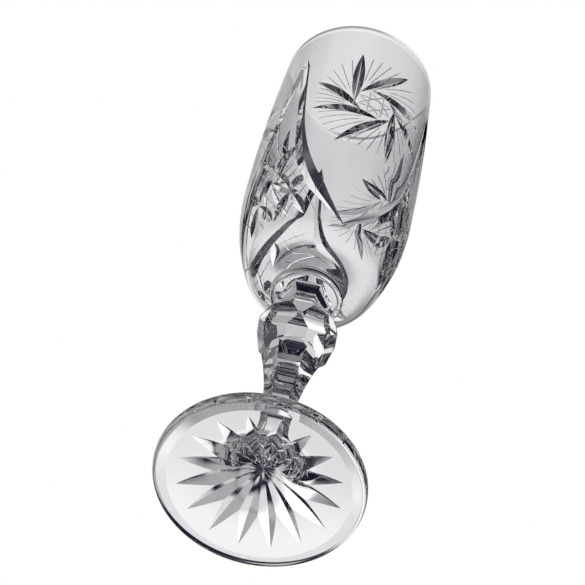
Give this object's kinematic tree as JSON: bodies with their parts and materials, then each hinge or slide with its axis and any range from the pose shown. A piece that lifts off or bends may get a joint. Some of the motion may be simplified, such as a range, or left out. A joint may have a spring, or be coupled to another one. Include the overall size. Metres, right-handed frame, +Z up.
{
  "type": "champagne glass",
  "caption": "Tall stemmed glass for sparkling wine in cut crystal, with a deep bowl, faceted knop and stem, and a round foot with a cut star.",
  "frame": {"origin": "middle of the ring under the foot that the glass stands on, in the plane of the table", "axes": "+Z up the axis of the glass towards the rim, -Y towards the front"},
  "size_m": [0.062, 0.062, 0.206],
  "materials": {
    "crystal": "clear, polished, cut"
  },
  "bodies": {
    "root": {"bowl": "crystal", "collar": "crystal", "knop": "crystal", "stem": "crystal", "foot": "crystal"}
  },
  "joints": []
}
